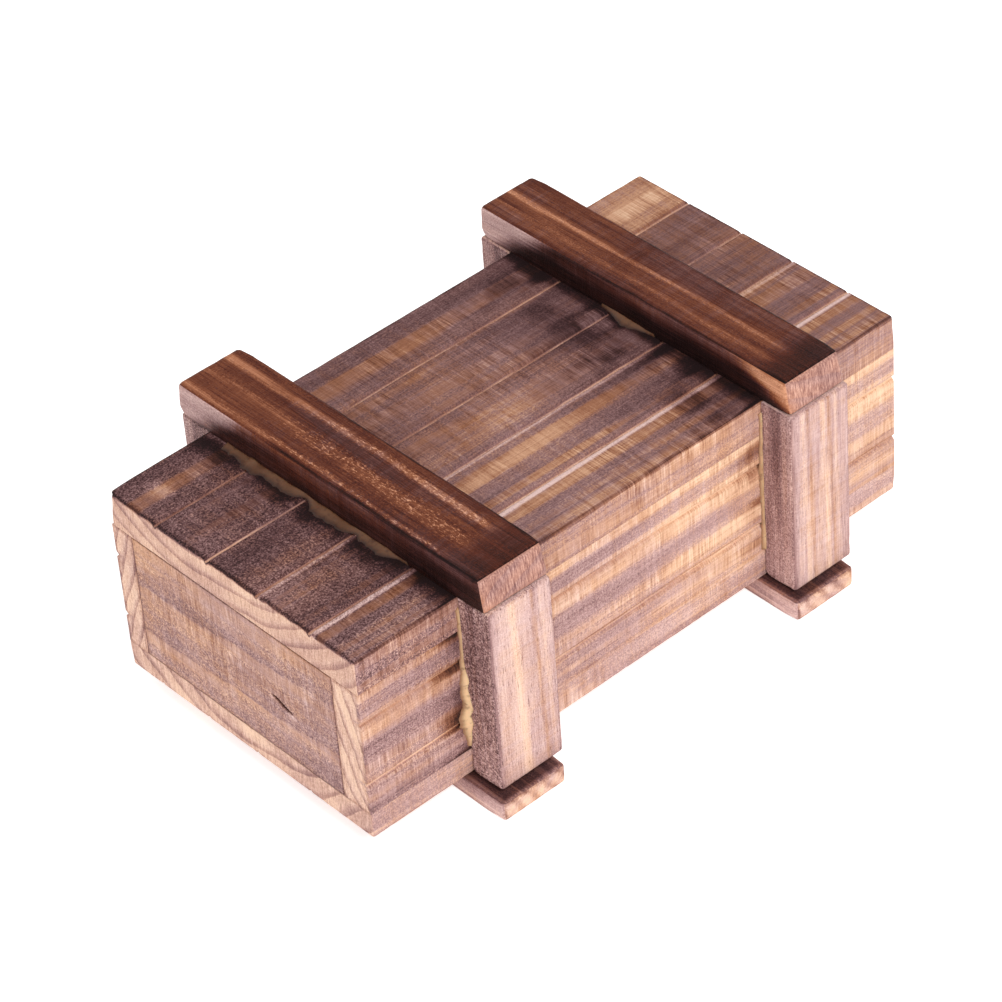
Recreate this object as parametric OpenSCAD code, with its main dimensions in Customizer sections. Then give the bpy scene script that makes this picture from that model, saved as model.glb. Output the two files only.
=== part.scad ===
// Wooden puzzle box: a plank-look crate with two straps, a hidden end drawer
// and a foot bar that slides sideways to lock it.
// Frame: the drawer end faces -Y, the right side is +X, +Z is up.
// The origin is at the bottom centre of the whole box, on the surface it stands on.

/* [Crate] */
// Length of the crate, front end to rear end
crate_l = 112; // [100:1:125]
// Width of the crate over the side boards
crate_w = 57; // [52:0.5:62]
// Height of the crate, underside to top
crate_h = 34.8; // [32:0.2:40]
// Thickness of the top board
top_t = 6.4; // [5.4:0.1:7]
// Thickness of the bottom board
bottom_t = 4.8; // [4.6:0.1:6]
// Thickness of the left board
left_t = 4.6; // [4:0.1:6]
// Thickness of the right board
right_t = 6; // [4:0.1:6.5]
// Thickness of the fixed rear panel
panel_t = 5.7; // [4:0.1:7]
// Width of a scored plank groove
groove_w = 1.3; // [0.8:0.1:1.8]
// Depth of a scored plank groove
groove_d = 0.8; // [0.4:0.1:1.2]
// Small bevel along the long outer edges of the crate
edge_bevel = 0.6; // [0.2:0.1:1]

/* [Straps] */
// Thickness of the bars across the top
bar_t = 5.8; // [4.5:0.1:7]
// Width of the front top bar
front_bar_w = 12.8; // [10:0.2:14]
// Width of the rear top bar
rear_bar_w = 11.8; // [10:0.2:14]
// How far the top bars stand out past the left side
bar_left = 6.9; // [6:0.1:8]
// How far the top bars stand out past the right side
bar_right = 6; // [5:0.1:8]
// Lean of a top bar's sawn right end
bar_lean = 0.9; // [0:0.1:1.5]
// Width of the four posts
post_w = 12.6; // [10:0.2:14]
// Thickness of the four posts
post_t = 6.6; // [5:0.1:7.5]
// Radius of a post's lower inner corner
post_round = 1.2; // [0.6:0.1:2]
// Middle of the front strap along Y
front_strap_y = -29.8; // [-34:0.2:-26]
// Middle of the rear strap along Y
rear_strap_y = 32.7; // [28:0.2:38]

/* [Feet] */
// Height that the feet lift the crate
foot_h = 3.6; // [3:0.1:5]
// Width of the two foot bars
foot_w = 12.8; // [10:0.2:14]
// Length of the two foot bars across the box
foot_l = 74.5; // [72:0.5:78]
// How far a foot bar sits forward of its strap
foot_forward = 1.6; // [0:0.1:2]
// Corner radius of a foot bar's ends
foot_round = 1; // [0.5:0.1:1.6]

/* [Drawer] */
// Play between the drawer and the boards around it
drawer_play = 0.2; // [0.15:0.05:0.4]
// Thickness of the drawer's front
front_t = 5.7; // [4:0.1:7]
// Thickness of the drawer's sides
side_t = 4.4; // [3:0.1:5]
// Thickness of the drawer's back
back_t = 5; // [4:0.1:6]
// Thickness of the drawer's floor
floor_t = 5; // [4.5:0.1:6]
// How far the drawer slides out
drawer_travel = 74; // [60:1:78]

/* [Lock] */
// How far the lock bar slides sideways
lock_travel = 6; // [5:0.5:8]
// Diameter of the lock pin
pin_d = 5; // [4:0.5:6]
// Depth of the pin groove in the drawer floor
pin_groove_d = 3; // [2.5:0.1:3.5]
// Play of the pin in its groove, each side
pin_play = 0.3; // [0.2:0.05:0.5]
// Length of the key that runs in the bottom board's slot
key_l = 22; // [20:1:26]
// Width of that key
key_w = 7.6; // [6.5:0.1:9]
// Width of the keeper strip above the key
keeper_w = 12; // [11:0.2:14]
// Thickness of the keeper strip
keeper_t = 1.6; // [1.2:0.1:2]
// Shank diameter of the keeper's screws
screw_d = 2; // [1.5:0.1:2.5]

/* [Hidden] */

$fn = 48;
eps = 0.01;                                     // overcut, so that no cut ends on a face
half_w = crate_w / 2;
half_l = crate_l / 2;
crate_top = foot_h + crate_h;
inner_w = crate_w - left_t - right_t;
inner_h = crate_h - top_t - bottom_t;
inner_x = -half_w + left_t;                     // inner face of the left board
inner_z = foot_h + bottom_t;                    // inner face of the bottom board
top_lines = [-0.3, -0.088, 0.113, 0.325];       // grooves across the width, as parts of it
bottom_lines = [-0.367, -0.172, 0.033, 0.25];
side_lines = [0.305, 0.646];                    // grooves up the height, as parts of it
bar_corner = 2.2;                               // worn lower corner of a top bar's left end
top_arris = 0.5;                                // bevel along a top bar's upper edges

front_foot_y = front_strap_y - foot_forward;
rear_foot_y = rear_strap_y - foot_forward;
post_gap = 0.3;                                 // space between a post and the foot below it
slide_gap = 0.15;                               // play above and beside the lock's sliding parts
fit_gap = 0.05;                                 // play around the glued dowel and the screws

slot_l = key_l + lock_travel + 2 * slide_gap;   // slot runs on towards -X by the travel
keeper_l = key_l + 4;
recess_d = keeper_t + 2 * slide_gap;            // recess in the bottom board for the keeper
keeper_z = inner_z - slide_gap - keeper_t;
lock_bar_t = foot_h - slide_gap;
pin_base = 1.2;                                 // the pin and screws stop this far above the floor
screw_x = 7.2;                                  // screws stand this far each side of the pin
screw_head_d = 3.8;
screw_head_h = 1;

drawer_w = inner_w - 2 * drawer_play;
drawer_h = inner_h - 2 * drawer_play;
drawer_z = inner_z + drawer_play;
drawer_x = inner_x + drawer_play;               // left face of the drawer
drawer_back_y = half_l - panel_t - drawer_play; // rear face of the drawer
groove_end_y = front_foot_y + drawer_travel;    // pin's place in the drawer when it is out
pin_groove_w = pin_d + 2 * pin_play;
pin_top = drawer_z + pin_groove_d - pin_play;

bead = 1.6;                                     // size of the hardened glue fillets

oak = [0.66, 0.47, 0.36];
burnt = [0.38, 0.24, 0.18];
pale = [0.82, 0.66, 0.56];
tray = [0.85, 0.72, 0.56];
glue_colour = [0.72, 0.62, 0.4];
steel = [0.7, 0.7, 0.68];

// Outline of a board lying flat, z from 0 to t, with V-grooves cut into its top edge
module scored_outline(w, t, lines, groove = groove_w, depth = groove_d, bevel = edge_bevel) {
    difference() {
        polygon([
            [-w / 2, 0], [w / 2, 0], [w / 2, t - bevel], [w / 2 - bevel, t],
            [-w / 2 + bevel, t], [-w / 2, t - bevel]
        ]);
        for (x = lines)
            polygon([[x - groove / 2, t + eps], [x, t - depth], [x + groove / 2, t + eps]]);
    }
}

// Extrudes an outline drawn in X and Z along Y, from y0 to y1
module along_y(y0, y1) {
    translate([0, y1, 0]) rotate([90, 0, 0]) linear_extrude(y1 - y0) children();
}

// A flat crate board of full width, scored on its upper side
module flat_board(t, lines) {
    along_y(-half_l, half_l) scored_outline(crate_w, t, [for (p = lines) p * crate_w]);
}

// A side board, scored on its outer side; side is 1 for the right and -1 for the left
module side_board(side, t) {
    lines = [for (p = side_lines) foot_h + p * crate_h];
    mirror([side < 0 ? 1 : 0, 0, 0]) along_y(-half_l, half_l) difference() {
        translate([half_w - t, inner_z]) square([t, inner_h]);
        for (z = lines)
            polygon([
                [half_w + eps, z - groove_w / 2], [half_w - groove_d, z],
                [half_w + eps, z + groove_w / 2]
            ]);
    }
}

// A bar across the top: worn lower left corner, right end sawn a little out of square
module top_bar(mid_y, w) {
    x_left = -half_w - bar_left;
    x_right = half_w + bar_right;
    z0 = crate_top;
    z1 = crate_top + bar_t;
    intersection() {
        along_y(mid_y - w / 2, mid_y + w / 2) union() {
            polygon([
                [x_left + bar_corner, z0], [x_right, z0], [x_right - bar_lean, z1],
                [x_left, z1], [x_left, z0 + bar_corner]
            ]);
            translate([x_left + bar_corner, z0 + bar_corner]) circle(bar_corner);
        }
        translate([x_left - 1, 0, 0]) rotate([90, 0, 90]) linear_extrude(x_right - x_left + 2)
            polygon([
                [mid_y - w / 2, z0 - 1], [mid_y + w / 2, z0 - 1],
                [mid_y + w / 2, z1 - top_arris], [mid_y + w / 2 - top_arris, z1],
                [mid_y - w / 2 + top_arris, z1], [mid_y - w / 2, z1 - top_arris]
            ]);
    }
}

// An upright glued to the crate's side, with its lower inner corner rounded off
module post(side, mid_y) {
    z0 = foot_h + post_gap;
    mirror([side < 0 ? 1 : 0, 0, 0]) along_y(mid_y - post_w / 2, mid_y + post_w / 2) {
        translate([half_w, z0 + post_round]) square([post_t, crate_top - z0 - post_round]);
        translate([half_w + post_round, z0]) square([post_t - post_round, post_round + eps]);
        intersection() {
            translate([half_w + post_round, z0 + post_round]) circle(post_round);
            translate([half_w, z0]) square([post_round + eps, post_round + eps]);
        }
    }
}

// A foot bar lying across the box, rounded at its four plan corners
module foot(mid_y, t) {
    linear_extrude(t) {
        square_x = foot_l - 2 * foot_round;
        translate([0, mid_y]) square([square_x, foot_w], center = true);
        translate([0, mid_y]) square([foot_l, foot_w - 2 * foot_round], center = true);
        for (x = [-1, 1], y = [-1, 1])
            translate([x * square_x / 2, mid_y + y * (foot_w / 2 - foot_round)])
                circle(foot_round);
    }
}

// A straight groove with round ends, cut upwards from z = 0 in the drawer floor
module pin_track(from, to, w, h) {
    run = to - from;
    for (p = [from, to]) translate([p[0], p[1], -eps]) cylinder(d = w, h = h + eps);
    translate([from[0], from[1], -eps]) rotate([0, 0, atan2(run[1], run[0])])
        translate([0, -w / 2, 0]) cube([norm(run), w, h + eps]);
}

// Hardened glue in the corner between two faces that meet along Y or along X
module glue_fillet(length, size) {
    linear_extrude(length) polygon([[0, 0], [size, 0], [size * 0.45, size * 0.45], [0, size]]);
}

module top_board() {
    color(burnt) translate([0, 0, crate_top - top_t]) flat_board(top_t, top_lines);
}

module bottom_board() {
    color(oak) difference() {
        translate([0, 0, inner_z]) mirror([0, 0, 1]) flat_board(bottom_t, bottom_lines);
        // slot for the lock key, right through the board
        translate([-key_l / 2 - lock_travel - slide_gap, front_foot_y - key_w / 2 - slide_gap, 0])
            cube([slot_l, key_w + 2 * slide_gap, inner_z + eps]);
        // recess for the keeper strip, in the board's inner face
        translate([
            -keeper_l / 2 - lock_travel - slide_gap, front_foot_y - keeper_w / 2 - slide_gap,
            inner_z - recess_d
        ]) cube([keeper_l + lock_travel + 2 * slide_gap, keeper_w + 2 * slide_gap, recess_d + eps]);
    }
}

module left_board() { color(oak) side_board(-1, left_t); }

module right_board() { color(oak) side_board(1, right_t); }

module rear_panel() {
    color(pale) translate([inner_x, half_l - panel_t, inner_z]) cube([inner_w, panel_t, inner_h]);
}

module front_top_bar() { color(burnt) top_bar(front_strap_y, front_bar_w); }

module rear_top_bar() { color(burnt) top_bar(rear_strap_y, rear_bar_w); }

module front_left_post() { color(pale) post(-1, front_strap_y); }

module front_right_post() { color(pale) post(1, front_strap_y); }

module rear_left_post() { color(pale) post(-1, rear_strap_y); }

module rear_right_post() { color(pale) post(1, rear_strap_y); }

module rear_foot_bar() { color(oak) foot(rear_foot_y, foot_h); }

// Squeezed-out glue along the front edges of both top bars and of the right posts
module glue_beads() {
    bar_fronts = [front_strap_y - front_bar_w / 2, rear_strap_y - rear_bar_w / 2];
    color(glue_colour) {
        for (y = bar_fronts)
            translate([-half_w + 3, y, crate_top]) rotate([0, 0, 180]) mirror([1, 0, 0])
                rotate([90, 0, 90]) glue_fillet(crate_w - 8, bead);
        for (y = [front_strap_y, rear_strap_y])
            translate([half_w, y - post_w / 2, inner_z]) mirror([0, 1, 0])
                glue_fillet(inner_h - 1, bead * 0.8);
    }
}

module lock_bar() {
    color(oak) difference() {
        foot(front_foot_y, lock_bar_t);
        translate([0, front_foot_y, pin_base]) cylinder(d = pin_d + 2 * fit_gap, h = foot_h);
        for (x = [-screw_x, screw_x]) translate([x, front_foot_y, pin_base])
            cylinder(d = screw_d + 2 * fit_gap, h = foot_h);
    }
}

module lock_key() {
    color(tray) difference() {
        translate([-key_l / 2, front_foot_y - key_w / 2, lock_bar_t])
            cube([key_l, key_w, keeper_z - lock_bar_t]);
        lock_drillings(lock_bar_t - eps);
    }
}

module lock_keeper() {
    color(tray) difference() {
        translate([-keeper_l / 2, front_foot_y - keeper_w / 2, keeper_z])
            cube([keeper_l, keeper_w, keeper_t]);
        lock_drillings(keeper_z - eps);
        for (x = [-screw_x, screw_x])
            translate([x, front_foot_y, keeper_z + keeper_t - screw_head_h - fit_gap])
                cylinder(d1 = screw_d + 2 * fit_gap, d2 = screw_head_d + 4 * fit_gap,
                         h = screw_head_h + fit_gap + eps);
    }
}

// Holes for the pin and both screws, from z0 upwards
module lock_drillings(z0) {
    translate([0, front_foot_y, z0]) cylinder(d = pin_d + 2 * fit_gap, h = inner_z);
    for (x = [-screw_x, screw_x])
        translate([x, front_foot_y, z0]) cylinder(d = screw_d + 2 * fit_gap, h = inner_z);
}

module lock_pin() {
    color(pale) translate([0, front_foot_y, pin_base]) {
        tip = 0.5;
        cylinder(d = pin_d, h = pin_top - pin_base - tip);
        translate([0, 0, pin_top - pin_base - tip]) cylinder(d1 = pin_d, d2 = pin_d - 2 * tip, h = tip);
    }
}

module keeper_screws() {
    head_z = keeper_z + keeper_t - screw_head_h;
    color(steel) for (x = [-screw_x, screw_x]) translate([x, front_foot_y, 0]) {
        translate([0, 0, pin_base]) cylinder(d = screw_d, h = head_z - pin_base);
        difference() {
            translate([0, 0, head_z]) cylinder(d1 = screw_d, d2 = screw_head_d, h = screw_head_h);
            translate([0, 0, head_z + screw_head_h / 2])
                for (a = [0, 90]) rotate([0, 0, a])
                    translate([-screw_d / 2, -0.2, 0]) cube([screw_d, 0.4, screw_head_h]);
        }
    }
}

module drawer_front() {
    color(pale) translate([drawer_x, -half_l, drawer_z]) cube([drawer_w, front_t, drawer_h]);
}

module drawer_floor() {
    y0 = -half_l + front_t;
    shut = [0, front_foot_y];
    out = [0, groove_end_y];
    side = [-lock_travel, 0];
    color(tray) difference() {
        translate([drawer_x, y0, drawer_z]) cube([drawer_w, drawer_back_y - y0, floor_t]);
        // the pin's groove: a long run with a side leg at each end
        translate([0, 0, drawer_z]) {
            pin_track(shut, out, pin_groove_w, pin_groove_d);
            pin_track(shut, shut + side, pin_groove_w, pin_groove_d);
            pin_track(out, out + side, pin_groove_w, pin_groove_d);
        }
    }
}

// A drawer side standing on the floor, with its left face at x
module drawer_side(x) {
    y0 = -half_l + front_t;
    translate([x, y0, drawer_z + floor_t]) cube([side_t, drawer_back_y - y0, drawer_h - floor_t]);
}

module drawer_left_side() { color(tray) drawer_side(drawer_x); }

module drawer_right_side() { color(tray) drawer_side(drawer_x + drawer_w - side_t); }

module drawer_back() {
    color(tray) translate([drawer_x + side_t, drawer_back_y - back_t, drawer_z + floor_t])
        cube([drawer_w - 2 * side_t, back_t, drawer_h - floor_t]);
}

top_board();
bottom_board();
left_board();
right_board();
rear_panel();
front_top_bar();
rear_top_bar();
front_left_post();
front_right_post();
rear_left_post();
rear_right_post();
rear_foot_bar();
glue_beads();
lock_bar();
lock_key();
lock_keeper();
lock_pin();
keeper_screws();
drawer_front();
drawer_back();
drawer_left_side();
drawer_right_side();
drawer_floor();
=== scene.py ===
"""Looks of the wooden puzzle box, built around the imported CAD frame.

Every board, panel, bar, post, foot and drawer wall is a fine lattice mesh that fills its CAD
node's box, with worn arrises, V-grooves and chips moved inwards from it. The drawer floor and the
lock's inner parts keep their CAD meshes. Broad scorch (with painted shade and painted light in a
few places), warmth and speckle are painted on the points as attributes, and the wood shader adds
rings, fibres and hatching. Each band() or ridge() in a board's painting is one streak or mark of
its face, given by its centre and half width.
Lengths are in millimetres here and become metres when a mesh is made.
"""

import math
import bpy
import numpy as np
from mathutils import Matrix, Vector


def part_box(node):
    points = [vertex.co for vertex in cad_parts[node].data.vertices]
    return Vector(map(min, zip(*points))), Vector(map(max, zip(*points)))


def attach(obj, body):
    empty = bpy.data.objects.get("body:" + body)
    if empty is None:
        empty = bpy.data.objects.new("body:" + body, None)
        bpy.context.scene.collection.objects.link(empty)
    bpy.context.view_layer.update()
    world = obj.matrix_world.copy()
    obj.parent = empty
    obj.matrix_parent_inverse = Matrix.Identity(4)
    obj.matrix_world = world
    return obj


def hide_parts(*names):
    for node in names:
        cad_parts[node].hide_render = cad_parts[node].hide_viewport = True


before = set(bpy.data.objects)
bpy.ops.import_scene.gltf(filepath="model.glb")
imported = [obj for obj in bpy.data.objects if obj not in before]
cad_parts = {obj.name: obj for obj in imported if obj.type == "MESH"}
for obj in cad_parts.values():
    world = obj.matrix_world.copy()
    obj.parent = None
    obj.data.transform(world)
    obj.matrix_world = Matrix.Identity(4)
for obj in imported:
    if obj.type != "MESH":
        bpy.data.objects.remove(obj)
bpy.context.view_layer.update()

MM = 0.001

# Camera, from the perspective fit of the crate to the photo: degrees and millimetres
AZIMUTH = 50.42
ELEVATION = 39.28
ROLL = -4.72
DISTANCE = 670.24
AIM_RIGHT = -3.31
AIM_UP = 14.41
LENS = 151.24

# Studio: strengths of the surround and of the floor's own glow; the lamp in metres and watts
SKY_STRENGTH = 0.74
FLOOR_GLOW = 0.55
FLOOR_HALF = 3000
KEY_SIZE = 0.5
KEY_POWER = 5.5
KEY_PLACE = (0.75, -0.15, 0.85)
KEY_AIM = (0, 0, 0.02)

# Places on the crate, as in the CAD source; the slot and the recess by their two far corners.
# The score lines are a little narrower and shallower than there.
TOP_LINES = (-17.1, -5.0, 6.4, 18.5)
BOTTOM_LINES = (-20.9, -9.8, 1.9, 14.25)
SIDE_LINES = (14.2, 26.1)
GROOVE_HALF = 0.6
GROOVE_DEPTH = 0.7
SLOT = ((-17.15, -35.35, 0), (11.15, -27.45, 9))
RECESS = ((-19.15, -37.55, 6.5), (13.15, -25.25, 9))

# Where the lattice has extra cut planes: in from each end, and about a groove or a light streak
END_OFFSETS = (0.1, 0.2, 0.32, 0.48, 0.7, 1.0)
GROOVE_OFFSETS = (-1.5, -1.1, -0.85, -0.65, -0.45, -0.22, 0, 0.22, 0.45, 0.65, 0.85, 1.1, 1.5)
STREAK_OFFSETS = (-1, -0.6, -0.3, 0, 0.3, 0.6, 1)

# Light streaks along the top bars: centre across the bar, half width, strength
FRONT_BAR_STREAKS = ((-26.3, 0.6, 0.24), (-35.0, 0.35, 0.18), (-30.8, 1.1, 0.07))
REAR_BAR_STREAKS = ((33.0, 0.4, 0.24), (29.6, 0.5, 0.10))

# Glue: where the beads start and end along the bars and up the posts, their slices along
# and steps across, and how far their flat underside sinks into the wood
FRONT_GLUE = (-24.0, 18.0)
REAR_GLUE = (-7.0, 5.0)
POST_GLUE = (9.0, 36.5)
GLUE_SLICES = 260
GLUE_STEPS = 12
GLUE_SUNK = 0.04


def smooth(value, low, high):
    """Smooth step from 0 at low to 1 at high."""
    t = np.clip((value - low) / (high - low), 0, 1)
    return t * t * (3 - 2 * t)


def ridge(value, centre, half):
    """Bell curve round centre."""
    return np.exp(-(((value - centre) / half) ** 2))


def band(value, centre, half, soft=0.3):
    """Flat-topped streak round centre with soft sides."""
    rise = smooth(value, centre - half - soft, centre - half + soft)
    return rise * (1 - smooth(value, centre + half - soft, centre + half + soft))


class Field:
    """Seeded smooth noise in -1..1, over cells of a given size."""

    def __init__(self, seed):
        self.table = np.random.default_rng(seed).random((32, 32, 32))

    def __call__(self, points, size):
        place = points / np.asarray(size, float)
        cell = np.floor(place).astype(int)
        part = place - cell
        part = part * part * (3 - 2 * part)
        total = np.zeros(len(points))
        for corner in np.ndindex(2, 2, 2):
            weight = np.prod(np.where(corner, part, 1 - part), axis=1)
            index = (cell + corner) % 32
            total += weight * self.table[index[:, 0], index[:, 1], index[:, 2]]
        return total * 2 - 1


# -------- meshes


def rows(low, high, step, fine=()):
    """Cut planes from low to high: close together at both ends and at the fine places."""
    count = max(2, round((high - low) / step))
    planes = list(np.linspace(low, high, count + 1))
    planes += [low + offset for offset in END_OFFSETS]
    planes += [high - offset for offset in END_OFFSETS]
    planes += [p for p in fine if low < p < high]
    planes = np.sort(planes)
    kept = [low]
    for plane in planes:
        if plane - kept[-1] > 0.06 and high - plane > 0.06:
            kept.append(plane)
    return np.array(kept + [high])


def groove_rows(lines):
    """Extra cut planes across each V-groove."""
    return [line + offset for line in lines for offset in GROOVE_OFFSETS]


def lattice(xs, ys, zs, holes=()):
    """Skin of the block that these planes cut into cells, without the cells inside the holes."""
    planes = (xs, ys, zs)
    mids = np.meshgrid(*[(p[1:] + p[:-1]) / 2 for p in planes], indexing="ij")
    solid = np.ones(mids[0].shape, bool)
    for low, high in holes:
        inside = [(m > a) & (m < b) for m, a, b in zip(mids, low, high)]
        solid &= ~(inside[0] & inside[1] & inside[2])
    padded = np.pad(solid, 1)
    shape = [len(p) for p in planes]
    quads = []
    for axis in range(3):
        change = np.diff(padded.astype(int), axis=axis)
        for sign in (1, -1):
            cells = np.argwhere(change == sign)
            for other in range(3):
                if other != axis:
                    cells[:, other] -= 1
            side_a = np.eye(3, dtype=int)[(axis + 1) % 3]
            side_b = np.eye(3, dtype=int)[(axis + 2) % 3]
            ring = [cells, cells + side_a, cells + side_a + side_b, cells + side_b]
            ids = np.stack([np.ravel_multi_index(c.T, shape) for c in ring], axis=1)
            quads.append(ids[:, ::-1] if sign == 1 else ids)
    quads = np.concatenate(quads)
    used, flat_ids = np.unique(quads, return_inverse=True)
    index = np.unravel_index(used, shape)
    points = np.stack([planes[a][index[a]] for a in range(3)], axis=1)
    return points, flat_ids.reshape(quads.shape)


def edge_distance(points, low, high):
    """How far each point of the skin is from the nearest arris of its box."""
    gaps = np.sort(np.minimum(points - low, high - points), axis=1)
    return gaps[:, 1]


def round_arrises(points, low, high, radius):
    """Turns the square arrises of a box into arcs of the given radius, which may vary."""
    radius = np.asarray(radius)[:, None]
    core = np.clip(points, low + radius, high - radius)
    offset = points - core
    size = np.linalg.norm(offset, axis=1, keepdims=True)
    longest = np.abs(offset).max(axis=1, keepdims=True)
    return core + offset * np.where(size > 0, longest / np.maximum(size, 1e-9), 1)


def round_corner(points, axes, corner, inward, radius):
    """Rounds one long corner of a block, seen along the third axis."""
    a, b = axes
    gap_a = np.maximum(radius - (points[:, a] - corner[0]) * inward[0], 0)
    gap_b = np.maximum(radius - (points[:, b] - corner[1]) * inward[1], 0)
    size = np.hypot(gap_a, gap_b)
    scale = np.where(size > 0, np.maximum(gap_a, gap_b) / np.maximum(size, 1e-9), 1)
    points[:, a] += gap_a * (1 - scale) * inward[0]
    points[:, b] += gap_b * (1 - scale) * inward[1]


def cut_grooves(points, flat, axis, lines, down, surface, noise):
    """Presses V-grooves into one face; returns how far into a groove's pale line each point is."""
    wander = 0.12 * noise(flat, (9, 9, 9)) + 0.05 * noise(flat, (1.6, 1.6, 1.6))
    depth = np.zeros(len(points))
    pale = np.zeros(len(points))
    for line in lines:
        across = flat[:, axis] - line + wander
        depth = np.maximum(depth, np.clip(1 - np.abs(across) / GROOVE_HALF, 0, 1))
        pale = np.maximum(pale, np.clip(1 - np.abs(across - 0.15) / 0.7, 0, 1))
    under = np.abs(flat[:, down] - surface)
    sink = GROOVE_DEPTH * depth * np.clip(1 - under / 3.0, 0, 1)
    points[:, down] += sink * np.sign(np.mean(flat[:, down]) - surface)
    return pale * (under < 0.01)


def make_object(name, points, faces, material, attributes=None):
    """A smooth-shaded mesh object in metres, with one float attribute for each name."""
    mesh = bpy.data.meshes.new(name)
    mesh.from_pydata((points * MM).tolist(), [], faces)
    mesh.update()
    mesh.shade_smooth()
    for key, values in (attributes or {}).items():
        layer = mesh.attributes.new(key, "FLOAT", "POINT")
        layer.data.foreach_set("value", np.asarray(values, np.float32))
    mesh.materials.append(material)
    obj = bpy.data.objects.new(name, mesh)
    bpy.context.scene.collection.objects.link(obj)
    return obj


def hand_over(obj, body, slot, *nodes):
    """Says which body the piece moves with and the CAD nodes it stands for, which it hides. slot is
    not used.
    """
    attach(obj, body)
    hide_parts(*nodes)


def node_box(node):
    """Lowest and highest corner of a CAD node, in millimetres."""
    low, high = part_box(node)
    return np.array(low) / MM, np.array(high) / MM


class Block:
    """A lattice block that fills one CAD node's box, shaped and painted step by step.

    Its paint is a value for each point: the darkness key adds to the level of scorch and, in a few
    places, of painted shade and painted light; warm moves the colour from lilac to orange, kind makes
    it more speckled than hatched, raw is 1 on a sawn end, fleck and speck strengthen flecks and
    specks, groove is 1 along a score line and edge at an arris.
    """

    def __init__(self, node, seed, steps=(0.7, 0.7, 0.7), fine=((), (), ()), holes=()):
        self.node = node
        self.low, self.high = node_box(node)
        self.noise = Field(seed)
        planes = [rows(self.low[a], self.high[a], steps[a], fine[a]) for a in range(3)]
        self.flat, self.faces = lattice(*planes, holes=holes)
        self.points = self.flat.copy()
        self.edge = edge_distance(self.flat, self.low, self.high)
        self.groove = np.zeros(len(self.flat))
        self.x, self.y, self.z = self.flat.T
        self.paint = {}

    def on(self, axis, end):
        """1 on one face of the box, 0 elsewhere; end is -1 for the low face and 1 for the high."""
        place = self.low[axis] if end < 0 else self.high[axis]
        return (np.abs(self.flat[:, axis] - place) < 0.01).astype(float)

    def both(self, axis):
        """1 on the two faces across an axis, 0 elsewhere."""
        return self.on(axis, -1) + self.on(axis, 1)

    def near_face(self, axis, end, reach):
        """1 at the arrises of one face, fading to 0 at the given distance from them."""
        gaps = np.minimum(self.flat - self.low, self.high - self.flat)
        place = self.low[axis] if end < 0 else self.high[axis]
        others = np.delete(gaps, axis, axis=1).min(axis=1)
        distance = np.maximum(np.abs(self.flat[:, axis] - place), others)
        return 1 - smooth(distance, 0.0, reach)

    def mottle(self, *size):
        """Noise of -1..1 over the block, in cells of the given size."""
        return self.noise(self.flat, size)

    def chips(self, size, amount):
        """Uneven wear along an arris, 0 to amount."""
        coarse = np.clip(self.noise(self.flat, size), 0, 1)
        fine = np.clip(self.noise(self.flat + 7.3, size * 0.35), 0, 1)
        return amount * (0.6 * coarse + 0.4 * fine)

    def wear(self, radius):
        """Rounds all arrises of the box."""
        limit = (self.high - self.low).min() * 0.45
        self.points = round_arrises(self.points, self.low, self.high, np.clip(radius, 0.03, limit))

    def finish(self, material, body, slot):
        """Keeps the points in the CAD box and makes the object."""
        self.points = np.clip(self.points, self.low, self.high)
        edge = 1 - smooth(self.edge, 0.0, 1.6)
        paint = {key: 0 for key in ("burn_and_shade", "warm", "kind", "raw", "fleck", "speck")}
        paint.update(edge=edge, groove=self.groove)
        paint.update(self.paint)
        paint = {k: np.broadcast_to(v, len(self.flat)) for k, v in paint.items()}
        faces = self.faces.tolist()
        obj = make_object("worn_" + self.node, self.points, faces, material, paint)
        hand_over(obj, body, slot, self.node)


# -------- materials


def rgb(red, green, blue):
    """Linear colour of an sRGB colour in 0..255."""
    def linear(c):
        c = c / 255
        return c / 12.92 if c <= 0.04045 else ((c + 0.055) / 1.055) ** 2.4
    return (linear(red), linear(green), linear(blue), 1.0)


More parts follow.
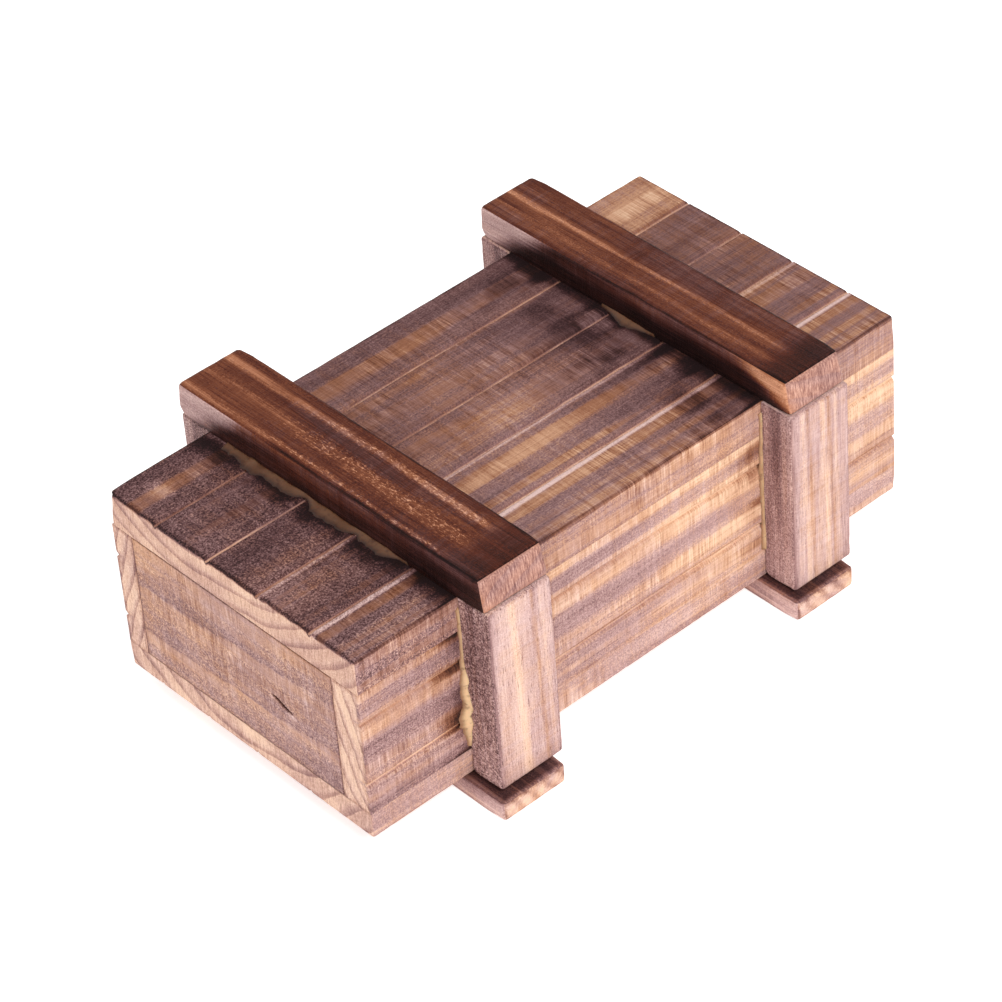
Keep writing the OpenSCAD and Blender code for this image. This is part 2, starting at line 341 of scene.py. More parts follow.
class Net:
    """Short names for the shader nodes that the materials are made of."""

    def __init__(self, name):
        self.material = bpy.data.materials.new(name)
        self.material.use_nodes = True
        self.tree = self.material.node_tree
        self.shader = self.tree.nodes["Principled BSDF"]

    def put(self, socket, value):
        if isinstance(value, bpy.types.NodeSocket):
            self.tree.links.new(value, socket)
        else:
            socket.default_value = value

    def shade(self, name, value):
        """Links or sets one of the shader's own sockets."""
        self.put(self.shader.inputs[name], value)

    def node(self, kind, inputs, **settings):
        made = self.tree.nodes.new("ShaderNode" + kind)
        for key, value in settings.items():
            setattr(made, key, value)
        for key, value in inputs.items():
            self.put(made.inputs[key], value)
        return made

    def math(self, operation, a, b=0.0, c=0.0, clamp=False):
        made = self.node("Math", {0: a, 1: b, 2: c}, operation=operation, use_clamp=clamp)
        return made.outputs[0]

    def add(self, a, b):
        return self.math("ADD", a, b)

    def times(self, a, b):
        return self.math("MULTIPLY", a, b)

    def muladd(self, a, b, c):
        return self.math("MULTIPLY_ADD", a, b, c)

    def span(self, value, low, high, to_low=0.0, to_high=1.0):
        """Smooth step of a value from low..high to the new range."""
        inputs = {0: value, 1: low, 2: high, 3: to_low, 4: to_high}
        return self.node("MapRange", inputs, interpolation_type="SMOOTHSTEP").outputs[0]

    def vector(self, operation, a, b):
        return self.node("VectorMath", {0: a, 1: b}, operation=operation).outputs[0]

    def place(self, offset=(0, 0, 0)):
        """The point's place in millimetres."""
        where = self.node("TexCoord", {}).outputs["Object"]
        scaled = self.vector("MULTIPLY", where, (1000, 1000, 1000))
        return self.vector("ADD", scaled, offset)

    def noise(self, place, size, detail=2.0, roughness=0.5, distortion=0.0):
        """Noise of about 0..1 whose cells have the given size in millimetres."""
        scaled = self.vector("DIVIDE", place, size)
        inputs = {
            "Vector": scaled, "Scale": 1.0, "Detail": detail,
            "Roughness": roughness, "Distortion": distortion,
        }
        return self.node("TexNoise", inputs).outputs["Fac"]

    def attribute(self, name):
        return self.node("Attribute", {}, attribute_name=name).outputs["Fac"]

    def mix(self, factor, a, b, blend="MIX"):
        made = self.node("Mix", {0: factor, 6: a, 7: b}, data_type="RGBA", blend_type=blend)
        return made.outputs[2]

    def ramp(self, value, colours):
        """Colours spread evenly from 0 to 1."""
        made = self.node("ValToRGB", {0: value})
        stops = made.color_ramp.elements
        while len(stops) < len(colours):
            stops.new(0.5)
        for i, colour in enumerate(colours):
            stops[i].position = i / (len(colours) - 1)
        for i, colour in enumerate(colours):
            stops[i].color = rgb(*colour)
        return made.outputs["Color"]

    def bump(self, height, distance, strength=1.0):
        inputs = {"Height": height, "Distance": distance * MM, "Strength": strength}
        self.shade("Normal", self.node("Bump", inputs).outputs[0])


def stretched(along, length, width):
    """Cell sizes that are long on the grain's axis and narrow across it."""
    size = [width, width, width]
    size["XYZ".index(along)] = length
    return tuple(size)


# From untouched wood to char, on the lilac side and on the orange side
COOL = (
    (230, 197, 191), (194, 157, 152), (150, 113, 111), (106, 74, 74), (66, 40, 41), (36, 22, 23),
)
WARM = (
    (243, 204, 171), (209, 159, 127), (159, 107, 80), (115, 68, 49), (71, 38, 27), (36, 20, 16),
)
RED = (
    (226, 166, 132), (182, 120, 88), (130, 74, 50), (88, 41, 29), (56, 26, 19), (26, 13, 11),
)

# Length of the marks across the grain
HATCH_LENGTH = 5.0


def wood(name, along, pith, ring=2.4, base=0.3, rings=0.2, fibre=0.16, hatch=0.1, salt=0.12,
         streaks=0.05, streak_width=1.4, pores=0.0, warm=0.5, warm_ramp=WARM, roughness=0.62,
         raw_level=0.12, raw_rings=0.16, raw_warm=0.55, raw_saw=0.5, raw_grit=0.55, seed=0.0,
         edge_burn=0.25, saw=(0.3, 0.3, 2.6), kind_warm=0.4, beads=0.0, flecks=0.0,
         specular=0.18, groove_level=0.20, tones=1.3):
    """Scorched wood. A level of 0 to 1, of scorch and in places of painted shade and light, picks the
    colour; grain, hatch and specks move it.

    The grain runs along an axis and the growth rings lie round a pith line. base and warm are the
    levels that the paint adds to; the raw_ values are for sawn ends, and the rest are strengths.
    """
    net = Net(name)
    local = net.place()
    place = net.vector("ADD", local, (seed * 13.7, seed * 7.1, seed * 3.3))
    axis = "XYZ".index(along)
    flatten = [1.0, 1.0, 1.0]
    flatten[axis] = 0.0

    # growth rings round a pith line, wavering slowly along the board
    sway = net.noise(place, stretched(along, 70.0, 16.0), detail=1.0)
    fine_sway = net.noise(place, stretched(along, 14.0, 3.0))
    across = net.vector("MULTIPLY", net.vector("SUBTRACT", local, pith), tuple(flatten))
    distance = net.node("VectorMath", {0: across}, operation="LENGTH").outputs["Value"]
    distance = net.add(distance, net.times(sway, 4.5))
    distance = net.add(distance, net.times(fine_sway, 0.7))
    phase = net.math("FRACT", net.math("DIVIDE", distance, ring))
    late = net.times(net.span(phase, 0.35, 0.88), net.span(phase, 0.92, 1.0, 1.0, 0.0))
    late = net.add(late, -0.38)

    # streaks of two kinds: 0 is warm and hatched, 1 is lilac and speckled
    streak = net.noise(place, stretched(along, 46.0, streak_width), detail=3.0, roughness=0.55)
    feather = net.noise(place, stretched(along, 3.2, 0.28))
    chance = net.muladd(net.attribute("kind"), 0.22, streak)
    chance = net.muladd(feather, 0.12, chance)
    kind = net.span(chance, 0.53, 0.60)

    fibres = net.add(net.noise(place, stretched(along, 8.0, 0.28), detail=3.0, roughness=0.6), -0.5)
    crossing = [HATCH_LENGTH] * 3
    crossing[axis] = 0.24
    hatching = net.add(net.noise(place, tuple(crossing), roughness=0.7), -0.5)
    crossing = [HATCH_LENGTH * 2.6] * 3
    crossing[axis] = 1.2
    sweeps = net.add(net.noise(place, tuple(crossing), detail=3.0, roughness=0.7), -0.5)
    hatch_zone = net.span(net.noise(place, (9.0, 9.0, 9.0)), 0.38, 0.62, 0.35, 1.0)
    hatching = net.times(net.muladd(sweeps, 0.95, hatching), hatch_zone)
    specks = net.add(net.noise(place, (0.27, 0.27, 0.27), roughness=0.65), -0.5)
    broad = net.add(net.noise(place, stretched(along, 30.0, 7.0), detail=3.0), -0.5)
    pore = net.span(net.noise(place, stretched(along, 2.2, 0.20), detail=1.0), 0.64, 0.74)

    plain = net.math("SUBTRACT", 1.0, kind)
    burn_and_shade = net.add(net.attribute("burn_and_shade"), base)
    burn_and_shade = net.muladd(late, rings, burn_and_shade)
    burn_and_shade = net.muladd(net.add(kind, -0.5), streaks * 2.0, burn_and_shade)
    burn_and_shade = net.muladd(broad, 0.24, burn_and_shade)
    burn_and_shade = net.muladd(fibres, fibre * 2.4, burn_and_shade)
    hatch_gain = net.muladd(plain, hatch * 2.2, hatch * 1.3)
    burn_and_shade = net.muladd(hatching, hatch_gain, burn_and_shade)
    salt_gain = net.muladd(kind, salt * 2.9, salt * 1.4)
    salt_gain = net.times(salt_gain, net.add(net.attribute("speck"), 1.0))
    burn_and_shade = net.muladd(specks, salt_gain, burn_and_shade)
    if pores:
        burn_and_shade = net.muladd(pore, pores, burn_and_shade)
    if beads:
        line = net.span(net.noise(place, stretched(along, 30.0, 0.42), detail=1.0), 0.54, 0.62)
        crossing = [0.8] * 3
        crossing[axis] = 0.42
        dash = net.span(net.noise(place, tuple(crossing), detail=0.0), 0.44, 0.58)
        burn_and_shade = net.muladd(net.times(line, dash), beads, burn_and_shade)
    if flecks:
        flame = net.noise(place, stretched(along, 0.7, 0.3), detail=3.0, roughness=0.7, distortion=0.6)
        flame = net.times(net.span(flame, 0.50, 0.68), net.attribute("fleck"))
        burn_and_shade = net.muladd(flame, -flecks, burn_and_shade)
    edge = net.attribute("edge")
    ragged = net.span(net.add(edge, net.times(fibres, 0.9)), 0.55, 1.0)
    burn_and_shade = net.muladd(ragged, edge_burn, burn_and_shade)
    groove = net.add(net.attribute("groove"), net.times(specks, 0.5))
    in_groove = net.span(groove, 0.34, 0.58)
    sawn = net.muladd(broad, 0.7, groove_level)
    sawn = net.add(sawn, net.add(net.times(fibres, 0.7), net.times(specks, 0.6)))
    sawn = net.muladd(net.attribute("burn_and_shade"), 0.5, sawn)
    burn_and_shade = net.add(net.times(burn_and_shade, net.math("SUBTRACT", 1.0, in_groove)), net.times(sawn, in_groove))

    # sawn end: rings as thin darker arcs over pale wood
    raw_mask = net.attribute("raw")
    thin = net.times(net.span(phase, 0.55, 0.92), net.span(phase, 0.94, 1.0, 1.0, 0.0))
    arcs = net.muladd(thin, raw_rings, raw_level)
    grit = net.noise(place, stretched(along, 1.0, 0.26), roughness=0.7)
    arcs = net.muladd(net.add(grit, -0.5), raw_grit, arcs)
    sawing = net.noise(place, saw, roughness=0.6)
    arcs = net.muladd(net.add(sawing, -0.5), raw_saw, arcs)
    arcs = net.muladd(broad, 0.45, arcs)
    arcs = net.muladd(ragged, 0.16, arcs)
    cover = net.math("SUBTRACT", 1.0, raw_mask)
    burn_and_shade = net.add(net.times(burn_and_shade, cover), net.times(arcs, raw_mask))
    burn_and_shade = net.math("ADD", burn_and_shade, 0.0, clamp=True)

    warmth = net.add(warm, net.attribute("warm"))
    warmth = net.muladd(net.add(kind, -0.5), -kind_warm, warmth)
    warmth = net.add(sweeps, warmth)
    tone = net.noise(place, stretched(along, 11.0, 6.0), roughness=0.6)
    warmth = net.muladd(net.add(tone, -0.5), tones, warmth)
    warmth = net.muladd(net.times(specks, kind), -1.6, warmth)
    warmth = net.math("MAXIMUM", warmth, net.times(in_groove, 0.6))
    warmth = net.add(net.times(warmth, cover), net.times(raw_mask, raw_warm))
    warmth = net.muladd(broad, -0.8, warmth)
    warmth = net.muladd(late, -0.2, warmth)
    warmth = net.math("ADD", warmth, 0.0, clamp=True)
    colour = net.mix(warmth, net.ramp(burn_and_shade, COOL), net.ramp(burn_and_shade, warm_ramp))
    net.shade("Base Color", colour)

    rough = net.muladd(net.add(fibres, specks), 0.25, roughness)
    net.shade("Roughness", net.math("ADD", rough, 0.0, clamp=True))
    net.shade("Specular IOR Level", specular)
    height = net.add(fibres, net.times(specks, 1.3))
    height = net.muladd(late, 0.3, height)
    height = net.muladd(hatching, 0.9, height)
    if pores:
        height = net.muladd(pore, -0.6, height)
    net.bump(height, 0.10)
    return net.material


def glue_look(name, thin, thick, dirt, burnt):
    """Hardened yellow glue, browner where it is thin and dirty, scorched along its outer rim."""
    net = Net(name)
    place = net.place()
    body = net.attribute("thick")
    cloud = net.noise(place, (2.2, 2.2, 2.2), detail=4.0, roughness=0.6)
    level = net.add(body, net.times(net.add(cloud, -0.5), 0.8))
    colour = net.mix(net.span(level, 0.0, 0.75), rgb(*thin), rgb(*thick))
    stain = net.span(net.noise(place, (1.1, 1.1, 1.1), detail=3.0), 0.52, 0.7)
    colour = net.mix(net.times(stain, 0.75), colour, rgb(*dirt))
    rim = net.span(net.attribute("rim"), 0.45, 1.0)
    colour = net.mix(net.times(rim, 0.8), colour, rgb(*burnt))
    net.shade("Base Color", colour)
    rough = net.muladd(cloud, 0.3, 0.28)
    net.shade("Roughness", rough)
    net.shade("Specular IOR Level", 0.35)
    net.shade("Subsurface Weight", 0.15)
    net.shade("Subsurface Scale", 0.6 * MM)
    net.bump(cloud, 0.12)
    return net.material


def steel_look():
    """Zinc-plated screw steel with turning marks and dull patches."""
    net = Net("screw_steel")
    place = net.place()
    dull = net.noise(place, (0.9, 0.9, 0.9), detail=4.0, roughness=0.65)
    marks = net.noise(place, (0.08, 0.08, 1.2))
    colour = net.mix(net.span(dull, 0.35, 0.7), rgb(196, 194, 188), rgb(136, 132, 126))
    net.shade("Base Color", colour)
    net.shade("Roughness", net.muladd(dull, 0.4, 0.2))
    net.shade("Metallic", 1.0)
    net.bump(marks, 0.02)
    return net.material


def glue_reach(x):
    """How far the glue has run out in front of a top bar, at each place across the box."""
    necks = 1.35 * ridge(x, -4.8, 2.0) + 1.1 * ridge(x, 6.9, 1.5)
    pool = 0.8 * ridge(x, -17.8, 1.2)
    return np.maximum((1.75 - necks + pool) * (1 - smooth(x, 12.0, 17.0)), 0.12)


# -------- crate boards


def add_top_board():
    """Burnt top board with its four scored grooves; colours follow its streaks from front to rear."""
    b = Block("top_board", 11, (0.55, 0.6, 0.9), (groove_rows(TOP_LINES), (), ()))
    b.groove = cut_grooves(b.points, b.flat, 0, TOP_LINES, 2, b.high[2], b.noise)
    upper = smooth(b.z, 33.0, 37.0)
    at_corner = ridge(b.x, b.low[0], 4.0) * ridge(b.y, b.low[1], 4.0)
    radius = 0.12 + upper * (0.45 + 0.3 * at_corner) + b.chips(1.3, 0.17) * upper
    round_corner(b.points, (0, 1), (b.low[0], b.low[1]), (1, 1), 0.8 + 0.8 * upper)
    b.wear(radius)

    x = b.x + 0.30 * b.mottle(4, 22, 4)
    y = b.y + 2.2 * b.mottle(2.2, 14, 5)
    front = 1 - smooth(y, -42, -30)
    middle = smooth(y, -40, -22) * (1 - smooth(y, -6, 16))
    by_rear_bar = smooth(y, 6, 24) * (1 - smooth(b.y, 36, 42))
    by_rear_bar *= 1 - 0.6 * band(b.x, 12.2, 3.2, 1.0)
    rear = smooth(b.y, 38, 44)
    rightward = smooth(b.x, -12, 26)
    orange = band(x, -22.3, 1.6, 0.5)
    faint = np.maximum(front, smooth(b.y, 2, 16))
    orange += (1 - 0.65 * faint) * (band(x, 10.6, 1.5, 0.5) + band(x, 16.3, 0.8))
    orange += band(x, 21.0, 0.9) + 0.5 * band(x, 24.8, 0.4) + 0.6 * band(x, 27.0, 0.6)
    lilac = band(x, -25.9, 1.9, 0.5) + 0.5 * band(x, -19.2, 1.6, 0.6) + band(x, 13.9, 1.7)
    lilac += band(x, 23.0, 0.9) + 0.5 * band(x, 25.9, 0.4) + 0.7 * band(x, 8.6, 0.5)
    lilac += 0.8 * band(x, 5.6, 0.9) + 0.6 * band(x, 17.7, 0.5)
    bright = 0.8 * band(x, 7.2, 0.35, 0.2) + 1.4 * band(x, 19.2, 0.6, 0.2)
    centre = ridge(b.y, -4, 9) * (1 - smooth(np.abs(b.x), 16, 24))
    blots = smooth(b.noise(b.flat + 31, (2.3, 5, 5)), -0.2, 0.5)
    at_right = smooth(b.x, 13, 17)
    burn_and_shade = 0.11 * front - 0.13 * middle * rightward
    # Scorch with painted shade in the zone in front of the rear bar.
    burn_and_shade += (0.08 + 0.18 * blots) * by_rear_bar * (1 + 0.4 * at_right)
    burn_and_shade -= 0.05 * centre + 0.05 * front * smooth(b.x, 3, 12)
    # Char along the glue at the front bar's foot, partly painted shade in the crease where the bar
    # meets the board; the at_right term below darkens the same crease further on the right.
    glue_edge = node_box("front_top_bar")[0][1] - glue_reach(b.x)
    beyond = glue_edge - b.y + 0.5 * b.mottle(0.9, 2.0, 3)
    lines = sum(ridge(b.x, line, 1.3) for line in TOP_LINES)
    char = (1 - smooth(beyond, 0.3, 1.3 + 2.6 * blots)) + 0.7 * (1 - smooth(beyond, 0.5, 4.5))
    char *= smooth(beyond, -1.5, -0.5)
    burn_and_shade += 0.26 * char * (1 - 0.6 * lines) - 0.03 * rear * rightward
    burn_and_shade += 0.20 * at_right * (1 - smooth(beyond, 1.0, 5.0)) * smooth(beyond, -1.5, 0)
    burn_and_shade += -0.06 * orange + 0.04 * lilac - 0.30 * bright - 0.08 * front * smooth(b.x, 18, 23)
    burn_and_shade += 0.05 * b.mottle(1.6, 16, 6) + 0.06 * b.mottle(9, 9, 9)
    # Painted shade with char in the crease at the rear bar's foot.
    rear_wall = node_box("rear_top_bar")[0][1]
    reach = 2.4 + 3.0 * blots + 0.8 * at_right
    burn_and_shade += 0.38 * (1 - smooth(rear_wall - b.y, 0.5, reach)) * (b.y < rear_wall)
    burn_and_shade -= 0.17 * band(b.x, -22.7, 2.2, 1.0) * band(b.y, -50.3, 1.6, 1.2)
    dusk = smooth(b.y, -6, 10) * (1 - smooth(b.y, 20, 34)) * (1 - smooth(b.x, 7, 13))
    burn_and_shade += 0.05 * dusk
    peach = smooth(b.y, 40, 46) * smooth(-b.x, 17.0, 18.5)
    plum = smooth(b.y, 38, 41) * band(b.x, -11.0, 5.6, 0.5)
    burn_and_shade += 0.05 * plum - 0.17 * peach
    right = b.on(0, 1)
    right_burn = -0.21 + 0.12 * front + 0.05 * b.mottle(3, 20, 1.0)
    b.paint["burn_and_shade"] = burn_and_shade * (1 - right) + right * right_burn
    warm = 0.45 * orange - 0.35 * lilac - 0.26 * front + 0.12 * rear - 0.3 * bright
    warm += 0.15 * centre - 0.25 * by_rear_bar + 0.7 * peach - 0.1 * plum - 0.2 * dusk
    b.paint["warm"] = warm * (1 - right) + right * (0.1 - 0.25 * front)
    b.paint["kind"] = (lilac - orange + 0.5 * front + 0.8 * bright + 0.5 * plum) * (1 - right)
    b.paint["speck"] = 0.45 * front - 0.35 * (1 - front) - 0.35 * rear
    creep = smooth(b.high[2] - b.z + 0.3 * b.mottle(1.1, 1, 1), 0.15, 0.6)
    b.paint["raw"] = b.both(1) * creep
    b.paint["edge"] = b.near_face(2, 1, 1.5)
    look = wood("scorched_top", "Y", (-5.5, 0.0, 72.0), ring=3.1, base=0.485, rings=0.03,
                fibre=0.12, hatch=0.20, salt=0.22, streaks=0.015, warm=0.46, kind_warm=0.25,
                raw_rings=0.17, raw_level=0.13, seed=1, specular=0.12, groove_level=0.27)
    b.finish(look, "crate", "scorched_board")


def add_side_board(node, side, seed):
    """Side board: pinkish wood in lilac speckled streaks, scored twice along its outer face."""
    b = Block(node, seed, (0.9, 0.6, 0.45), ((), (), groove_rows(SIDE_LINES)))
    outer = b.high[0] if side > 0 else b.low[0]
    b.groove = cut_grooves(b.points, b.flat, 2, SIDE_LINES, 0, outer, b.noise)
    b.wear(0.08 + b.chips(1.5, 0.08))
    z = b.z + 0.25 * b.mottle(5, 26, 3)
    rearward = smooth(b.y, -12, 16)
    front = 1 - smooth(b.y, -38, -26)
    lilac = band(z, 34.1, 0.8, 0.2) + (1 - 0.8 * front) * band(z, 29.0, 1.2, 0.4)
    lilac += band(z, 20.4, 1.9, 0.5) + front * band(z, 7.0, 2.0, 0.5)
    lilac += 0.6 * band(z, 12.6, 0.7) + 0.5 * band(z, 9.6, 0.6) + 0.5 * band(z, 37.2, 0.4)
    light = band(z, 31.4, 0.9) + band(z, 24.4, 1.3, 0.5) + 0.9 * rearward * band(z, 17.5, 1.2, 0.5)
    light += band(z, 35.3, 0.3, 0.2) + 0.9 * band(z, 27.1, 0.4, 0.2) + 0.5 * band(z, 11.2, 0.4)
    lines = ridge(z, 32.7, 0.16) + 0.8 * ridge(z, 26.05, 0.2) + ridge(z, 14.7, 0.25)
    lines += 0.5 * ridge(z, 9.1, 0.2)
    burn_and_shade = 0.05 * lilac * (1 - 0.6 * rearward) - (0.07 - 0.04 * front) * light
    burn_and_shade += 0.03 * b.mottle(5, 18, 1.4)
    burn_and_shade += 0.07 * front - 0.06 * smooth(b.y, -6, 14)
    burn_and_shade += 0.16 * lines * b.on(0, side) * (0.8 + 0.6 * b.mottle(2, 7, 2))
    columns = 0.5 + 0.5 * b.mottle(5, 0.9, 9)
    at_front = smooth(b.y, -43.5, -37.5) * (1 - smooth(b.y, -36, -34))
    at_rear = smooth(b.y, 17.5, 25.5) * (1 - smooth(b.y, 26, 28))
    fingers = smooth(b.mottle(5, 30, 1.6), -0.3, 0.4) * (at_front + at_rear * columns)
    beside = smooth(b.y, -39.4, -37.0) * (1 - smooth(b.y, -36, -34))
    beside *= 0.65 + 0.6 * b.mottle(5, 30, 3.5)
    b.paint["burn_and_shade"] = burn_and_shade + 0.42 * fingers + 0.30 * beside
    warm = 0.3 * light - 0.35 * lilac * (1 - 0.5 * rearward) + 0.25 * rearward - 0.15 * front
    b.paint["warm"] = warm + 0.6 * lines + 0.9 * fingers
    b.paint["kind"] = lilac * (1 - 0.5 * rearward) - light
    b.paint["speck"] = 0.4 * front - 0.3 * rearward
    inset = np.abs(b.x - outer) + 0.5 * b.mottle(1, 1, 1.3)
    notches = sum(ridge(b.z, line, 0.6) for line in SIDE_LINES)
    creep = smooth(inset, 0.1, 0.6) * (1 - 0.8 * notches * (1 - smooth(inset, 0.8, 2.2)))
    b.paint["raw"] = b.both(1) * creep
    look = wood("toasted_" + node, "Y", (side * 85.0, 0.0, 44.0), ring=2.3, base=0.238, rings=0.03,
                fibre=0.11, hatch=0.19, salt=0.16, streaks=0.015, streak_width=1.0, warm=0.38,
                kind_warm=0.2, raw_level=0.09, raw_rings=0.20, seed=seed, edge_burn=0.0, beads=0.08,
                groove_level=0.10)
    b.finish(look, "crate", "toasted_board")


def add_bottom_board():
    """Board underneath, with the lock's slot and the recess for its keeper."""
    corners = SLOT + RECESS
    fine_x = groove_rows(BOTTOM_LINES) + [corner[0] for corner in corners]
    fine_y = [corner[1] for corner in corners]
    fine_z = [RECESS[0][2]]
    b = Block("bottom_board", 23, (0.8, 0.7, 0.7), (fine_x, fine_y, fine_z), (SLOT, RECESS))
    b.groove = cut_grooves(b.points, b.flat, 0, BOTTOM_LINES, 2, b.low[2], b.noise)
    round_corner(b.points, (0, 2), (b.low[0], b.low[2]), (1, 1), 1.5)
    lower = 1 - smooth(b.z, 4.4, 7.4)
    b.wear(0.12 + 0.35 * lower + b.chips(1.5, 0.2) * lower)
    right = b.on(0, 1)
    burn_and_shade = (0.08 * b.mottle(3, 12, 1.2) - 0.04) * right
    burn_and_shade += 0.05 * b.mottle(3, 14, 3)
    b.paint["burn_and_shade"] = burn_and_shade + 0.12 * b.on(2, -1)
    b.paint["warm"] = -0.05 * right
    b.paint["kind"] = 0.3 * right
    b.paint["raw"] = b.both(1)
    b.paint["edge"] = b.near_face(2, -1, 1.2)
    look = wood("toasted_bottom", "Y", (1.0, 0.0, 36.0), ring=3.4, base=0.22, rings=0.06,
                fibre=0.10, hatch=0.16, salt=0.15, streaks=0.03, warm=0.45, raw_level=0.10,
                raw_rings=0.20, seed=5, edge_burn=0.12)
    b.finish(look, "crate", "toasted_board")


def add_end_panel(node, body, seed):
    """Flush end panel, grain across the box, with upright planing marks."""
    start, end, nick = (7.4, 19.4), (12.1, 18.1), (-2.0, 21.6)
    cracked = body == "drawer"
    fine_x = np.arange(start[0] - 0.4, end[0] + 0.4, 0.15) if cracked else ()
    fine_z = np.arange(end[1] - 0.5, start[1] + 0.5, 0.12) if cracked else ()
    b = Block(node, seed, (0.5, 0.9, 0.45), (fine_x, (), fine_z))
    outward = -1 if cracked else 1
    face = b.on(1, outward)
    b.wear(0.08 + b.chips(1.3, 0.10))
    z = b.z - 0.07 * b.x + 0.5 * b.mottle(9, 4, 9) + 0.12 * b.mottle(2, 4, 2)
    upper, lower = 24.2, 14.9
    dark = np.clip((upper - z) / (upper - lower), 0, 1) * (z > lower)
    dark += (1 - smooth(z, upper, 30.5)) * (z > upper) + smooth(lower - z, 1.0, 5.0) * (z < lower)
    rim = ridge(z, upper + 0.2, 0.3) * smooth(b.x, -24, -14) + ridge(z, lower + 0.2, 0.3)
    left = 1 - smooth(b.x, -23, -15)
    burn_and_shade = 0.08 * dark ** 1.5 + 0.05 * rim - 0.03 - 0.04 * left * (b.z > 27) - 0.03 * left
    burn_and_shade += 0.05 * b.mottle(6, 7, 4) + 0.05 * (1 - smooth(b.edge, 0.0, 0.5)) * face
    crack = 0
    if cracked:
        run = (b.x - start[0]) / (end[0] - start[0])
        line = start[1] + run * (end[1] - start[1]) + 0.12 * np.sin(run * 7)
        half = 0.32 * np.clip(1.25 - np.abs(run - 0.5) * 2, 0.25, 1)
        crack = smooth(half - np.abs(b.z - line), -0.12, 0.02) * (run > 0) * (run < 1) * face
        b.points[:, 1] += 0.7 * crack
        burn_and_shade += 0.9 * crack
        burn_and_shade -= 0.5 * ridge(b.x, nick[0], 0.3) * ridge(b.z, nick[1], 0.45) * face
        for tip in (start, end):
            tip_mark = ridge(b.x, tip[0], 0.6) * ridge(b.z, tip[1] - 0.5, 0.3)
            burn_and_shade -= 0.25 * tip_mark * face * (1 - crack)
    b.paint["burn_and_shade"] = burn_and_shade
    b.paint["warm"] = 0.15 - 0.30 * dark + 0.3 * crack + 0.2 * left
    b.paint["kind"] = 0.9 * dark - 0.2
    look = wood("panel_" + node, "X", (0.0, outward * 60.0, 46.0), ring=2.6, base=0.315,
                rings=0.0, fibre=0.07, hatch=0.19, salt=0.24, streaks=0.004, streak_width=1.8,
                warm=0.36, kind_warm=0.1, seed=seed, edge_burn=0.0)
    b.finish(look, body, "end_panel")


# -------- straps and feet


